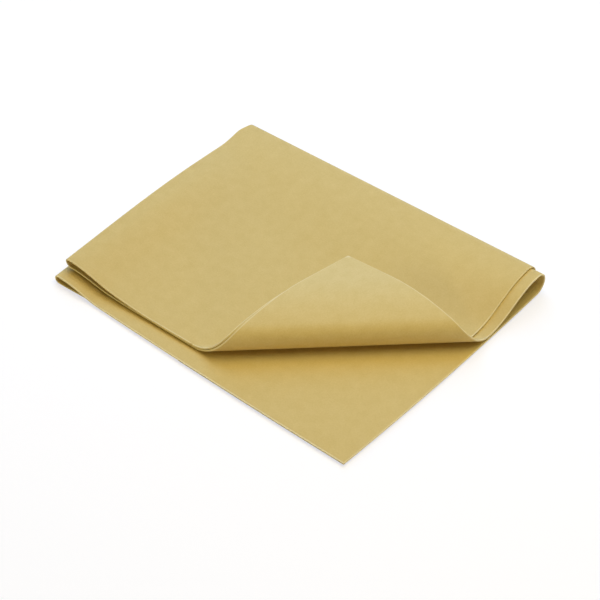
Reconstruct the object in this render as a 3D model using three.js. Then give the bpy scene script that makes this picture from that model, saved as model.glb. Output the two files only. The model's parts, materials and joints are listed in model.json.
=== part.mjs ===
// A soft cleaning cloth, folded in half at its left side and again at the back, with one corner turned over.
// Millimetres: +X runs along the front edge, +Y towards the back fold, +Z up.
// The cloth is cut along its bend lines into zones, so that the back fold and the turned corner can open.
import * as THREE from 'three';

const { clamp, degToRad, lerp, smootherstep, smoothstep } = THREE.MathUtils;

// Cloth, and the air between its layers
const thickness = 1.2;
const layerGap = 0.3;
const halfGap = 0.9;
const slit = 0.3;

// Folds and cut edges seen from above. A lean is the drift of an edge for each mm along it,
// and a bow is how far its middle stands out beyond its ends.
// Front edges are placed where they meet the side fold, the side fold and the right edges at Y 0.
const sideFoldX = -134.7;
const sideFoldLean = -0.03;
const backFoldY = 108.5;
const backCornerPull = 3;
const backCornerReach = 25;
const bottomFrontY = -108.5;
const bottomFrontLean = -0.011;
const bottomFrontBow = 1.2;
const topFrontY = -99.5;
const outerTopFrontLean = 0.006;
const innerTopFrontLean = 0;
const outerBottomRightX = 131.6;
const outerBottomRightLean = -0.011;
const innerBottomRightX = 136.5;
const innerBottomRightLean = 0.023;
const innerBottomRightBow = 2;
const innerTopRightX = 139.6;
const innerTopRightLean = -0.006;
const outerTopRightX = 132.4;
const outerTopRightLean = -0.0267;

// Back fold: tight beside the side folds, swelling to a loop at the open right end.
// Behind it a hump runs down to the flat stack.
const backRadiusLeft = 5;
const backRadiusRight = 10.2;
const humpLengthLeft = 35;
const humpLengthRight = 60;

// Side folds: loops that stand open at the front edge and close towards the back fold.
// Each stays open over its first stretch from the fold and has closed at its reach.
// The higher the hold, the longer the loops stay open on the way to the back fold.
const bottomPuff = 3.8;
const bottomPuffStretch = 26;
const bottomPuffReach = 46;
const topPuff = 4.5;
const topPuffStretch = 26;
const topPuffReach = 96;
const halfLift = 2;
const halfLiftStretch = 6;
const halfLiftReach = 46;
const loopHold = 5;

// Turned corner: a roll along a slanting line, then a flap that bends back down to its tip
const rollDirection = degToRad(42.8);
const rollMiddleX = 69.3;
const rollMiddleY = -23;
const rollRadius = 12;
const rollTurn = degToRad(160);
const flapBendLength = 40;
const tipHeight = 22.8;
const tipWidth = 1;
const flatBesideRoll = 3;

// Bend lines: the back fold and the roll open in equal steps, the flap in one
const backSteps = 3;
const rollSteps = 3;

// Facets
const loopFacets = 8;
const flatFacets = 7;
const humpFacets = 9;
const puffFacets = 4;
const liftFacets = 5;
const rightFacets = 3;
const stripFacets = 4;
const bendFacet = degToRad(16);

const clothColour = 0xcdb879;
const clothRoughness = 0.95;

const pairHeight = 2 * thickness + layerGap;
const stackTop = 2 * pairHeight + halfGap;
const rollFloor = stackTop - pairHeight;

/** Share of the way from the side fold to the right edge. */
const shareAcross = (x) => (x - sideFoldX) / (innerTopRightX - sideFoldX);

/** A right edge: its X at a Y. */
const rightEdge = (place, lean, bow = 0) => (y) => place + lean * y + bow * (1 - (y / backFoldY) ** 2);

/** A front edge: its Y at an X. */
const frontEdge = (place, lean, bow = 0) => (x) => {
  const share = shareAcross(x);
  return place + lean * (x - sideFoldX) - 4 * bow * share * (1 - share);
};

const bottomFront = frontEdge(bottomFrontY, bottomFrontLean, bottomFrontBow);

/** Radius of the back fold's outer face. */
const backRadius = (x) => lerp(backRadiusLeft, backRadiusRight, shareAcross(x));

/** Where the bottom half leaves the floor, and the top half leaves the back fold. */
const bendStartY = (x) => backFoldY - backRadius(x);

/** Where the hump behind the back fold has come down to the flat stack. */
const humpEndY = (x) => bendStartY(x) - lerp(humpLengthLeft, humpLengthRight, shareAcross(x));

/** How open the side folds stand: 1 at the front edge, 0 at the back fold. */
function openness(y, front, x) {
  const along = clamp((y - front) / (bendStartY(x) - front), 0, 1);
  return 1 - along ** loopHold * (loopHold + 1 - loopHold * along);
}

/** Extra room between the two layers of the bottom half. */
function bottomRoom(x, y) {
  const closed = smoothstep(x - sideFoldX, bottomPuffStretch, bottomPuffReach);
  return bottomPuff * (1 - closed) * openness(y, bottomFrontY, x);
}

/** Extra room between the two layers of the top half. */
function topRoom(x, y) {
  const closed = smoothstep(x - sideFoldX, topPuffStretch, topPuffReach);
  return topPuff * (1 - closed) * openness(y, topFrontY, x);
}

/** Extra room between the two halves. */
function halfRoom(x, y) {
  const closed = smoothstep(x - sideFoldX, halfLiftStretch, halfLiftReach);
  return halfLift * (1 - closed) * openness(y, topFrontY, x);
}

/** Height of the top half's upper face. */
function topHeight(x, y) {
  const rooms = bottomRoom(x, y) + halfRoom(x, y) + topRoom(x, y);
  const up = smootherstep(y, humpEndY(x), bendStartY(x));
  return stackTop + rooms + (2 * backRadius(x) - stackTop) * up;
}

/**
 * A point of the folded pair of layers.
 * @param {number} x place across the cloth
 * @param {{y: number, half: string} | {bend: number}} row place on a flat half, or round the back fold
 * @param {number} depth distance in from the outer face of the pair
 */
function pairPoint(x, row, depth) {
  if (row.bend !== undefined) {
    const radius = backRadius(x);
    const reach = radius - depth;
    return [x, bendStartY(x) + reach * Math.sin(row.bend), radius - reach * Math.cos(row.bend)];
  }
  return [x, row.y, row.half === 'bottom' ? depth : topHeight(x, row.y) - depth];
}

/** Room between the two layers at a row. */
function roomAt(x, row) {
  if (row.bend !== undefined) return 0;
  return row.half === 'bottom' ? bottomRoom(x, row.y) : topRoom(x, row.y);
}

/** Outer radius of the side fold's loop at a row. */
const loopRadius = (row) => (pairHeight + roomAt(sideFoldX, row)) / 2;

/** X of the side fold's crest at a row; the corner beside the back fold is drawn in. */
function foldCrestX(row) {
  const y = pairPoint(sideFoldX, row, 0)[1];
  const drawnIn = backCornerPull * smoothstep(y, backFoldY - backCornerReach, backFoldY);
  return sideFoldX + sideFoldLean * y + drawnIn;
}

// The two layers of the pair: their depths from the outer face, and their cut edges in each half
const outerLayer = {
  near: () => 0,
  farInBend: thickness,
  bottomRight: rightEdge(outerBottomRightX, outerBottomRightLean),
  topRight: rightEdge(outerTopRightX, outerTopRightLean),
  topFront: frontEdge(topFrontY, outerTopFrontLean),
  rollDepth: thickness + layerGap,
};
const innerLayer = {
  near: (x, row) => thickness + layerGap + roomAt(x, row),
  farInBend: pairHeight,
  bottomRight: rightEdge(innerBottomRightX, innerBottomRightLean, innerBottomRightBow),
  topRight: rightEdge(innerTopRightX, innerTopRightLean),
  topFront: frontEdge(topFrontY, innerTopFrontLean),
  rollDepth: 0,
};
const layers = Object.entries({ outer: outerLayer, inner: innerLayer });

// The roll's own directions, seen from above: along the roll, and across it towards the turned corner
const alongRoll = new THREE.Vector2(Math.cos(rollDirection), Math.sin(rollDirection));
const acrossRoll = new THREE.Vector2(alongRoll.y, -alongRoll.x);

/** Y of the line along the roll at a distance across it. */
function rollLineY(x, across) {
  const run = (x - rollMiddleX - across * acrossRoll.x) / alongRoll.x;
  return rollMiddleY + across * acrossRoll.y + run * alongRoll.y;
}

/** X where the top front edge of a layer meets the roll. */
function rollCornerX(layer) {
  const frontSlope = layer.topFront(1) - layer.topFront(0);
  const rollSlope = alongRoll.y / alongRoll.x;
  return (rollLineY(0, -slit) - layer.topFront(0)) / (frontSlope - rollSlope);
}

/** Right edge of a layer at a row. */
function rightX(layer, row, x) {
  if (row.bend === undefined) return layer[`${row.half}Right`](row.y);
  const start = bendStartY(x);
  return lerp(layer.bottomRight(start), layer.topRight(start), row.bend / Math.PI);
}

/**
 * The row and the X of a grid point; both lean on each other, so they are found by repeated correction.
 * @param {object} layer layer of the pair
 * @param {(x: number) => object} rowAt row at an X
 * @param {(row: object, right: number) => number} columnAt X at a row whose right edge is known
 */
function gridPlace(layer, rowAt, columnAt) {
  const passes = 12;
  let x = 0;
  let row = rowAt(x);
  for (let pass = 0; pass < passes; pass += 1) {
    x = columnAt(row, rightX(layer, row, x));
    row = rowAt(x);
  }
  return { x, row };
}

/** Six times the volume inside a closed triangle mesh, positive when its faces point out. */
function signedVolume(positions, indices) {
  const corner = (index) => new THREE.Vector3().fromArray(positions, 3 * index);
  let sum = 0;
  for (let i = 0; i < indices.length; i += 3) {
    sum += corner(indices[i]).dot(corner(indices[i + 1]).cross(corner(indices[i + 2])));
  }
  return sum;
}

/**
 * Closed solid of a zone of cloth, from a grid of points on each of its two faces.
 * @param {number} rows grid rows
 * @param {number} columns grid columns
 * @param {(row: number, column: number, face: number) => number[]} pointAt point on face 0 or face 1
 */
function zoneSolid(rows, columns, pointAt) {
  const positions = [];
  for (const face of [0, 1]) {
    for (let row = 0; row < rows; row += 1) {
      for (let column = 0; column < columns; column += 1) positions.push(...pointAt(row, column, face));
    }
  }
  const indices = [];
  const at = (face, row, column) => (face * rows + row) * columns + column;
  const quad = (a, b, c, d) => indices.push(a, b, c, a, c, d);
  const lastRow = rows - 1;
  const lastColumn = columns - 1;
  for (let row = 0; row < lastRow; row += 1) {
    for (let column = 0; column < lastColumn; column += 1) {
      quad(at(0, row, column), at(0, row, column + 1), at(0, row + 1, column + 1), at(0, row + 1, column));
      quad(at(1, row, column), at(1, row + 1, column), at(1, row + 1, column + 1), at(1, row, column + 1));
    }
    quad(at(0, row, 0), at(0, row + 1, 0), at(1, row + 1, 0), at(1, row, 0));
    quad(at(0, row, lastColumn), at(1, row, lastColumn), at(1, row + 1, lastColumn), at(0, row + 1, lastColumn));
  }
  for (let column = 0; column < lastColumn; column += 1) {
    quad(at(0, 0, column), at(1, 0, column), at(1, 0, column + 1), at(0, 0, column + 1));
    quad(at(0, lastRow, column), at(0, lastRow, column + 1), at(1, lastRow, column + 1), at(1, lastRow, column));
  }
  if (signedVolume(positions, indices) < 0) indices.reverse();
  const geometry = new THREE.BufferGeometry();
  geometry.setAttribute('position', new THREE.Float32BufferAttribute(positions, 3));
  geometry.setIndex(indices);
  geometry.computeVertexNormals();
  return geometry;
}

const cloth = new THREE.Group();

/** Adds one zone to the cloth. */
function addZone(name, geometry) {
  const material = new THREE.MeshStandardMaterial({ color: clothColour, roughness: clothRoughness, metalness: 0 });
  const mesh = new THREE.Mesh(geometry, material);
  mesh.name = name;
  cloth.add(mesh);
}

/** Evenly spaced values from start to end, both included. */
function spread(start, end, steps) {
  return Array.from({ length: steps + 1 }, (_, i) => lerp(start, end, i / steps));
}

// Columns across the cloth, measured from the side fold
const bottomStations = spread(bottomPuffStretch, bottomPuffReach, puffFacets);
const topLoopHeight = pairHeight + topPuff;
const topStations = [
  ...spread(halfLiftStretch + topLoopHeight, halfLiftReach, liftFacets),
  ...spread(halfLiftReach, topPuffReach, liftFacets).slice(1),
];

/** X of every column of a layer, as functions of the row and of its right edge. */
function layerColumns(stations) {
  const last = stations.at(-1);
  return [
    (row) => foldCrestX(row) + loopRadius(row) + slit,
    ...stations.map((station) => () => station),
    ...spread(0, 1, rightFacets).slice(1).map((share) => (row, right) => lerp(last, right, share)),
  ];
}

/** Half the angle of the slit at a bend line of the back fold, as wide as the slit at a layer's inner face. */
const slitTurn = (x, innerDepth) => slit / 2 / (backRadius(x) - innerDepth);

/** Rows round the back fold between two bend lines; an end that is a bend line keeps half a slit clear. */
function bendRows(start, end, innerDepth, slitAtStart, slitAtEnd) {
  return spread(0, 1, Math.ceil((end - start) / bendFacet)).map((share) => (x) => {
    const clear = slitTurn(x, innerDepth);
    const from = start + (slitAtStart ? clear : 0);
    const to = end - (slitAtEnd ? clear : 0);
    return { bend: lerp(from, to, share) };
  });
}

/** Rows of a flat half from one Y to another. */
function flatRows(half, fromY, toY, facets) {
  return spread(0, 1, facets).map((share) => (x) => ({ half, y: lerp(fromY(x), toY(x), share) }));
}

/** Turn of the back fold at a bend line. */
const backLine = (index) => ((index + 0.5) * Math.PI) / backSteps;

/** Rows of the bottom half, from its front edge to the first bend line. */
function bottomRows(innerDepth) {
  return [
    ...flatRows('bottom', bottomFront, bendStartY, flatFacets),
    ...bendRows(0, backLine(0), innerDepth, false, true).slice(1),
  ];
}

/** Rows of the top half, from the last bend line to a front edge. */
function topRows(innerDepth, frontAt) {
  const humpFoot = (x) => Math.max(humpEndY(x), frontAt(x) + flatBesideRoll);
  return [
    ...bendRows(backLine(backSteps - 1), Math.PI, innerDepth, true, false),
    ...flatRows('top', bendStartY, humpFoot, humpFacets).slice(1),
    ...flatRows('top', humpFoot, frontAt, flatFacets).slice(1),
  ];
}

/** A zone of one layer of the pair. */
function addLayerZone(name, layer, rows, columns) {
  const geometry = zoneSolid(rows.length, columns.length, (rowIndex, columnIndex, face) => {
    const { x, row } = gridPlace(layer, rows[rowIndex], columns[columnIndex]);
    return pairPoint(x, row, layer.near(x, row) + face * thickness);
  });
  addZone(name, geometry);
}

/** A zone of the side fold, which joins the two layers of the pair. */
function addSideFoldZone(name, rows) {
  const turns = spread(0, Math.PI, loopFacets);
  const geometry = zoneSolid(rows.length, turns.length, (rowIndex, columnIndex, face) => {
    const turn = turns[columnIndex];
    const crestRow = rows[rowIndex](sideFoldX);
    const radius = loopRadius(crestRow);
    const reach = radius - face * thickness;
    const x = foldCrestX(crestRow) + radius - reach * Math.sin(turn);
    return pairPoint(x, rows[rowIndex](x), radius - reach * Math.cos(turn));
  });
  addZone(name, geometry);
}

// Bottom half
const bottomColumns = layerColumns(bottomStations.map((station) => sideFoldX + station));
for (const [layerName, layer] of layers) {
  addLayerZone(`${layerName}_bottom_panel`, layer, bottomRows(layer.farInBend), bottomColumns);
}
addSideFoldZone('bottom_side_fold', bottomRows(pairHeight));

// Back fold, in strips between its bend lines
for (let index = 1; index < backSteps; index += 1) {
  const rowsFor = (innerDepth) => bendRows(backLine(index - 1), backLine(index), innerDepth, true, true);
  for (const [layerName, layer] of layers) {
    addLayerZone(`${layerName}_back_strip_${index}`, layer, rowsFor(layer.farInBend), bottomColumns);
  }
  addSideFoldZone(`side_fold_strip_${index}`, rowsFor(pairHeight));
}

/** Front edge of a layer of the top half, up to the start of the roll. */
const topFrontAt = (layer) => (x) => Math.max(layer.topFront(x), rollLineY(x, -slit));

// Top half
for (const [layerName, layer] of layers) {
  const stations = [...topStations.map((station) => sideFoldX + station), rollCornerX(layer)];
  stations.sort((first, second) => first - second);
  addLayerZone(`${layerName}_top_panel`, layer, topRows(layer.farInBend, topFrontAt(layer)), layerColumns(stations));
}
addSideFoldZone('top_side_fold', topRows(pairHeight, innerLayer.topFront));

/** Where a layer's front edge (left) and right edge (right) cross a line of the flat corner along the roll. */
function cornerEnds(layer, flatDistance) {
  const onLine = new THREE.Vector2(rollMiddleX, rollMiddleY).addScaledVector(acrossRoll, flatDistance);
  const frontLean = layer.topFront(1) - layer.topFront(0);
  const rightLean = layer.topRight(1) - layer.topRight(0);
  const left = (layer.topFront(onLine.x) - onLine.y) / (alongRoll.y - frontLean * alongRoll.x);
  const right = (layer.topRight(onLine.y) - onLine.x) / (alongRoll.x - rightLean * alongRoll.y);
  return { left, right };
}

/** Distance across the flat corner of a layer at which it is as narrow as its tip. */
function flatTipDistance(layer) {
  const width = (flatDistance) => {
    const ends = cornerEnds(layer, flatDistance);
    return ends.right - ends.left;
  };
  return (width(0) - tipWidth) / (width(0) - width(1));
}

const rollLength = rollRadius * rollTurn;
const flapStart = rollLength + flapBendLength;

/** Length of an arc's chord. */
const chord = (arc, turn) => (Math.abs(turn) < 1e-6 ? arc : (arc * Math.sin(turn / 2)) / (turn / 2));

/**
 * Side view of the turned corner's convex face.
 * @param {number} distance way along the face from the start of the roll
 * @param {number} flapTurn whole turn of the flap's bend
 * @returns {{across: number, up: number, turn: number}} place, and the turn from the flat cloth
 */
function cornerProfile(distance, flapTurn) {
  const rollPart = Math.min(distance, rollLength) / rollRadius;
  const onBend = clamp(distance - rollLength, 0, flapBendLength);
  const bendPart = (flapTurn * onBend) / flapBendLength;
  const bendChord = chord(onBend, bendPart);
  const straight = Math.max(distance - flapStart, 0);
  const turn = rollPart + bendPart;
  const heading = rollPart + bendPart / 2;
  return {
    across: rollRadius * Math.sin(rollPart) + bendChord * Math.cos(heading) + straight * Math.cos(turn),
    up: rollRadius * (1 - Math.cos(rollPart)) + bendChord * Math.sin(heading) + straight * Math.sin(turn),
    turn,
  };
}

/** Way along the convex face to a layer's tip. */
function tipDistance(layer, flapTurn) {
  return flatTipDistance(layer) + (layer.rollDepth + thickness / 2) * (rollTurn + flapTurn);
}

/** Turn of the flap's bend that brings the tip to its height, found by halving. */
function findFlapTurn() {
  const halvings = 40;
  let least = -Math.PI / 2;
  let most = Math.PI / 2;
  for (let halving = 0; halving < halvings; halving += 1) {
    const middle = (least + most) / 2;
    const tip = cornerProfile(tipDistance(innerLayer, middle), middle);
    if (rollFloor + tip.up > tipHeight) least = middle;
    else most = middle;
  }
  return (least + most) / 2;
}

const flapTurn = findFlapTurn();

/**
 * A point of the turned corner.
 * @param {number} distance way along the convex face from the start of the roll
 * @param {number} along place along the roll
 * @param {number} depth distance in from the convex face
 */
function cornerPoint(distance, along, depth) {
  const { across, up, turn } = cornerProfile(distance, flapTurn);
  const inAcross = across - depth * Math.sin(turn);
  return [
    rollMiddleX + along * alongRoll.x + inAcross * acrossRoll.x,
    rollMiddleY + along * alongRoll.y + inAcross * acrossRoll.y,
    rollFloor + up + depth * Math.cos(turn),
  ];
}

/** A zone of one layer of the turned corner, between rows at distances along the convex face. */
function addCornerZone(name, layer, distances) {
  const middleDepth = layer.rollDepth + thickness / 2;
  const geometry = zoneSolid(distances.length, 2, (rowIndex, side, face) => {
    const distance = distances[rowIndex];
    const ends = cornerEnds(layer, distance - middleDepth * cornerProfile(distance, flapTurn).turn);
    return cornerPoint(distance, side === 0 ? ends.left : ends.right, layer.rollDepth + face * thickness);
  });
  addZone(name, geometry);
}

// Turned corner, in strips between its bend lines
const cornerLines = [
  ...Array.from({ length: rollSteps }, (_, index) => ((index + 0.5) / rollSteps) * rollLength),
  rollLength + flapBendLength / 2,
];
const rollClear = (slit / 2) * (rollRadius / (rollRadius - pairHeight));
for (const [layerName, layer] of layers) {
  cornerLines.forEach((line, index) => {
    const start = index === 0 ? 0 : cornerLines[index - 1] + rollClear;
    const end = line - rollClear;
    const distances = end < rollLength
      ? spread(start, end, stripFacets)
      : [...spread(start, rollLength, stripFacets / 2), ...spread(rollLength, end, stripFacets / 2).slice(1)];
    addCornerZone(`${layerName}_corner_${index === 0 ? 'root' : `strip_${index}`}`, layer, distances);
  });
  const flapRows = spread(cornerLines.at(-1) + rollClear, flapStart, stripFacets / 2);
  addCornerZone(`${layerName}_corner_flap`, layer, [...flapRows, tipDistance(layer, flapTurn)]);
}

// The origin is under the middle of the folded cloth, on the surface that it lies on
const box = new THREE.Box3().setFromObject(cloth);
const middle = box.getCenter(new THREE.Vector3());
cloth.position.set(-middle.x, -middle.y, -box.min.z);

export default cloth;
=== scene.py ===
"""Looks of a soft cleaning cloth, folded at its left side and at the back, with one corner turned over.

Sizes are in millimetres and degrees, seen from above with +X along the front edge, +Y towards the back
fold and +Z up. Meshes are written in metres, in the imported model's frame.
"""

from __future__ import annotations

import json
import logging
import math
from collections.abc import Callable, Sequence
from dataclasses import dataclass, field
from enum import Enum

import bpy
import numpy as np
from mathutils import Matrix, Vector

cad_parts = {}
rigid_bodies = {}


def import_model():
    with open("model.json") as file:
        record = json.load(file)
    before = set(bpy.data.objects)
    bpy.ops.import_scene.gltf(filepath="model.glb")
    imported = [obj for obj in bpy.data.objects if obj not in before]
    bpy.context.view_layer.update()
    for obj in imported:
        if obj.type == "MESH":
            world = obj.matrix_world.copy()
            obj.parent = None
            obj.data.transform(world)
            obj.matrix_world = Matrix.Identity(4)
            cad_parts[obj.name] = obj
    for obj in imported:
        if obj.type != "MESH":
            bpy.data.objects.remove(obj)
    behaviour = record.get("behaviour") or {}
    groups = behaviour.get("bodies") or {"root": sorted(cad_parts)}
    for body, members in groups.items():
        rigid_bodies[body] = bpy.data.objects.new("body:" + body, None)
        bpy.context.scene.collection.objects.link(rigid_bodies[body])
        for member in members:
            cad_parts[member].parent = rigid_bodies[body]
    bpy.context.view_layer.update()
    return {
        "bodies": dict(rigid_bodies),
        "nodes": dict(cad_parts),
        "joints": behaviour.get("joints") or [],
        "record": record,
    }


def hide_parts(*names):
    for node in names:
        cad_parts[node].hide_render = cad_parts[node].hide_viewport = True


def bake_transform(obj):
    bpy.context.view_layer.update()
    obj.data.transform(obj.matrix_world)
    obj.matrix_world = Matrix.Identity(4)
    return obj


Array = np.ndarray
Number = np.ndarray | float
Colour = tuple[float, float, float]
Piece = bpy.types.Object
Tree = bpy.types.NodeTree
Socket = bpy.types.NodeSocket
Inputs = dict[str | int, object]

MM = 0.001
TINY = 1e-12
# Rounds in which two places that depend on each other settle
PASSES = 6
PLACE = "cloth_place"
# Cut edges, whose lighter colour is partly their own and partly a painted highlight
CUT_EDGE_AND_HIGHLIGHT = "cut_edge_and_highlight"
# Painted light on the turned corner, which makes its colour lighter and bluer
PAINTED_FLAP_LIGHT = "painted_flap_light"
BLACK = (0.0, 0.0, 0.0)
WHITE = (1.0, 1.0, 1.0)
# Sockets of a colour mix node: its share and two colours, and its result
MIX_INPUTS = (0, 6, 7)
MIX_RESULT = 2

log = logging.getLogger("cleaning_cloth")


def mix(start: Number, end: Number, share: Number) -> Number:
    """Value at a share of the way from start to end."""
    return start + (end - start) * share


def ease(value: Number, low: float, high: float) -> Number:
    """Smooth step from 0 at low to 1 at high, level at both ends."""
    share = np.clip((value - low) / (high - low), 0.0, 1.0)
    return share * share * (3.0 - 2.0 * share)


def long_ease(value: Array, low: Array, high: Array) -> Array:
    """Smoother step from 0 at low to 1 at high, straight at both ends."""
    share = np.clip((value - low) / (high - low), 0.0, 1.0)
    return share**3 * (share * (6.0 * share - 15.0) + 10.0)


def arch(share: Number) -> Number:
    """Parabola that is 0 at shares 0 and 1, and 1 halfway."""
    return 4 * share * (1 - share)


def unit(vectors: Array) -> Array:
    """Vectors at length 1."""
    return vectors / np.maximum(np.linalg.norm(vectors, axis=-1, keepdims=True), TINY)


def spread(start: float, end: float, step: float) -> Array:
    """Even values from start to end, no further apart than a step."""
    return np.linspace(start, end, max(1, math.ceil(abs(end - start) / step)) + 1)


def banded(inside: Array, band: float) -> Array:
    """Shares from 0 to 1, with a narrow band at both ends."""
    return np.concatenate([[0.0, band], inside, [1.0 - band, 1.0]])


def rim_turns(steps: int) -> list[float]:
    """Turns from a cut edge's face to its crest, and one spare turn beyond it."""
    return [np.pi / 2 * step / steps for step in range(1, steps + 2)]


def halved(too_small: Callable[[float], bool], least: float, most: float) -> float:
    """Value at which a test turns from true to false, found by halving.

    Args:
        too_small: the test
        least: value at which it holds
        most: value at which it does not

    Returns:
        the value between them
    """
    halvings = 40
    for _ in range(halvings):
        middle = (least + most) / 2
        least, most = (middle, most) if too_small(middle) else (least, middle)
    return (least + most) / 2


class Zone(Enum):
    """Stretch of the cloth on its way from the bottom front edge to the top front edge."""

    BOTTOM = "bottom"
    BEND = "bend"
    TOP = "top"


class Layer(Enum):
    """Layer of a folded pair: the outer one has the outside of the back fold."""

    OUTER = "outer"
    INNER = "inner"


class Blend(Enum):
    """How a second colour acts on a first one."""

    MIX = "MIX"
    MULTIPLY = "MULTIPLY"


@dataclass(frozen=True)
class Edge:
    """A cut edge seen from above.

    Attributes:
        place: where it is, in mm
        lean: its drift for each mm along it
        bow: how far its middle stands out beyond its ends, in mm
    """

    place: float
    lean: float = 0.0
    bow: float = 0.0


@dataclass(frozen=True)
class LayerEdges:
    """Cut edges of one layer: the top half's front edge, and the right edges of both halves."""

    top_front: Edge
    bottom_right: Edge
    top_right: Edge


@dataclass(frozen=True)
class Puff:
    """Extra room beside the side fold.

    Attributes:
        height: room at the front edge, in mm
        stretch: distance from the fold up to which it stays open
        reach: distance from the fold at which it has closed
    """

    height: float
    stretch: float
    reach: float


@dataclass(frozen=True)
class Row:
    """One line across the cloth.

    Attributes:
        zone: stretch of the cloth
        place: share of a half's length, from the front on the bottom and from the back on the top, or
            the turn round the back fold
        rim: turn round the cut edge, 0 on the cloth's faces
    """

    zone: Zone
    place: float
    rim: float = 0.0


@dataclass(frozen=True)
class Columns:
    """Columns of a sheet, from one cut edge to the other, and the ring round its two faces.

    Attributes:
        share: share of the way across a column's block
        turn: turn round the side fold, 0 on the outer layer and half a turn on the inner one
        right: whether the column lies in the right block, which meets the turned corner
        loop: whether the column lies on the side fold's loop
        rim_steps: points round a cut edge between the two faces, an odd number
    """

    share: Array
    turn: Array
    right: Array
    loop: Array
    rim_steps: int = 5

    @property
    def count(self) -> int:
        """Columns on one face."""
        return len(self.share)

    @property
    def outer(self) -> Array:
        """Whether each column lies on the outer layer."""
        return self.turn < np.pi / 2

    def ring(self) -> tuple[Array, Array, Array, Array]:
        """The closed line round both faces and both cut edges.

        Returns:
            the column of each point, its side (1 on the first face, -1 on the second), how far it
            stands out over the edge at the last column, and over the edge at the first column
        """
        columns = np.arange(self.count)
        bend = np.pi * np.arange(1, self.rim_steps + 1) / (self.rim_steps + 1)
        ends = np.zeros(self.rim_steps, int)
        flat, none = np.zeros(self.count), np.zeros(self.rim_steps)
        column = np.concatenate([columns, ends + self.count - 1, columns[::-1], ends])
        side = np.concatenate([flat + 1, np.cos(bend), flat - 1, -np.cos(bend)])
        over_last = np.concatenate([flat, np.sin(bend), flat, none])
        over_first = np.concatenate([flat, none, flat, np.sin(bend)])
        return column, side, over_last, over_first

    def split(self, ring: Array) -> tuple[Array, Array, Array, Array]:
        """First face, last edge, second face in the first one's order, and first edge of a ring's points."""
        parts = np.split(ring, np.cumsum([self.count, self.rim_steps, self.count]), axis=-1)
        return parts[0], parts[1], parts[2][..., ::-1], parts[3]

    def at_ends(self) -> Array:
        """Whether each ring point lies on a cut edge or beside it, at the first or last column."""
        column = self.ring()[0]
        return (column == 0) | (column == self.count - 1)

    def mirrored(self) -> Array:
        """Ring point on the other face, for every ring point."""
        whole = 2 * (self.count + self.rim_steps)
        return (2 * self.count + self.rim_steps - 1 - np.arange(whole)) % whole


@dataclass
class ClothMesh:
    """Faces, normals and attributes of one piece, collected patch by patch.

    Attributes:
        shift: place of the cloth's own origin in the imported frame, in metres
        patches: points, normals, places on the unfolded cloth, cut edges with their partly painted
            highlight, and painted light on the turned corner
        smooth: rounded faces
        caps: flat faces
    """

    shift: Array
    patches: list[tuple[Array, ...]] = field(default_factory=list)
    smooth: list[Array] = field(default_factory=list)
    caps: list[tuple[int, ...]] = field(default_factory=list)

    def add_points(self, points: Array, normals: Array, places: Array, edges: Array, lies: Array) -> Array:
        """Adds a grid of points.

        Args:
            points: places in mm, rows by ring points by 3
            normals: directions out of the cloth, of the same shape
            places: places on the unfolded cloth in mm, of the same shape
            edges: 1 on cut edges and 0 on faces, rows by ring points; the cut edges' lighter colour is
                partly painted highlight
            lies: share of the painted light on the turned corner, 0 to 1, one for each row

        Returns:
            the points' numbers, rows by ring points
        """
        first = sum(len(patch[0]) for patch in self.patches)
        vectors = [grid.reshape(-1, 3) for grid in (points, normals, places)]
        self.patches.append((*vectors, edges.ravel(), np.repeat(lies, points.shape[1])))
        return first + np.arange(edges.size).reshape(edges.shape)

    def add_band(self, numbers: Array, closed: bool) -> None:
        """Adds the smooth faces of a grid of numbered points.

        Args:
            numbers: rows by ring points
            closed: whether the last ring point is joined to the first
        """
        here = numbers if closed else numbers[:, :-1]
        there = np.roll(numbers, -1, axis=1) if closed else numbers[:, 1:]
        quads = np.stack([there[:-1], there[1:], here[1:], here[:-1]], axis=-1)
        self.smooth.append(quads.reshape(-1, 4))

    def add_cap(self, polygon: Sequence[int]) -> None:
        """Adds one flat face across the cloth's thickness, from its corners in clockwise order."""
        self.caps.append(tuple(polygon)[::-1])

    def add_strip_caps(self, first: Array, second: Array) -> None:
        """Adds the flat faces between two lines of points, in the order of the first line."""
        for corners in zip(first[:-1], first[1:], second[1:], second[:-1]):
            self.add_cap(corners)

    def add_ring_cap(self, ring: Array, columns: Columns, last: bool) -> None:
        """Closes a band across the cloth's thickness.

        Args:
            ring: numbers of the ring's points
            columns: columns of the ring
            last: whether it is the band's last row
        """
        order = -1 if last else 1
        upper, last_edge, lower, first_edge = columns.split(ring)
        self.add_strip_caps(upper[::order], lower[::order])
        self.add_cap([upper[-1], *last_edge, lower[-1]][::order])
        self.add_cap([lower[0], *first_edge, upper[0]][::order])

    def build(self, name: str) -> Piece:
        """Makes the piece's object, with its own normals and attributes.

        Args:
            name: name of the piece

        Returns:
            the piece, at the origin, unturned and unscaled
        """
        points, normals, places, edges, lies = (np.concatenate(part) for part in zip(*self.patches))
        faces = [tuple(dict.fromkeys(face)) for face in np.concatenate(self.smooth).tolist()]
        ends = np.cumsum([len(face) for face in faces + self.caps])
        used, corners = np.unique(np.concatenate(faces + self.caps), return_inverse=True)
        outlines = np.split(corners, ends[:-1])
        world = points[used] * MM + self.shift
        corner_normals = normals[used][corners]
        for outline, end in zip(outlines[len(faces):], ends[len(faces):]):
            corner_normals[end - len(outline):end] = polygon_normal(world[outline])
        mesh = bpy.data.meshes.new(name)
        mesh.from_pydata(world.tolist(), [], [outline.tolist() for outline in outlines])
        mesh.polygons.foreach_set("use_smooth", [True] * len(mesh.polygons))
        for attribute, values in ((PLACE, places * MM), (CUT_EDGE_AND_HIGHLIGHT, edges), (PAINTED_FLAP_LIGHT, lies)):
            write_attribute(mesh, attribute, values[used])
        mesh.normals_split_custom_set(corner_normals.tolist())
        mesh.update()
        piece = bpy.data.objects.new(name, mesh)
        bpy.context.scene.collection.objects.link(piece)
        return piece


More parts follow.
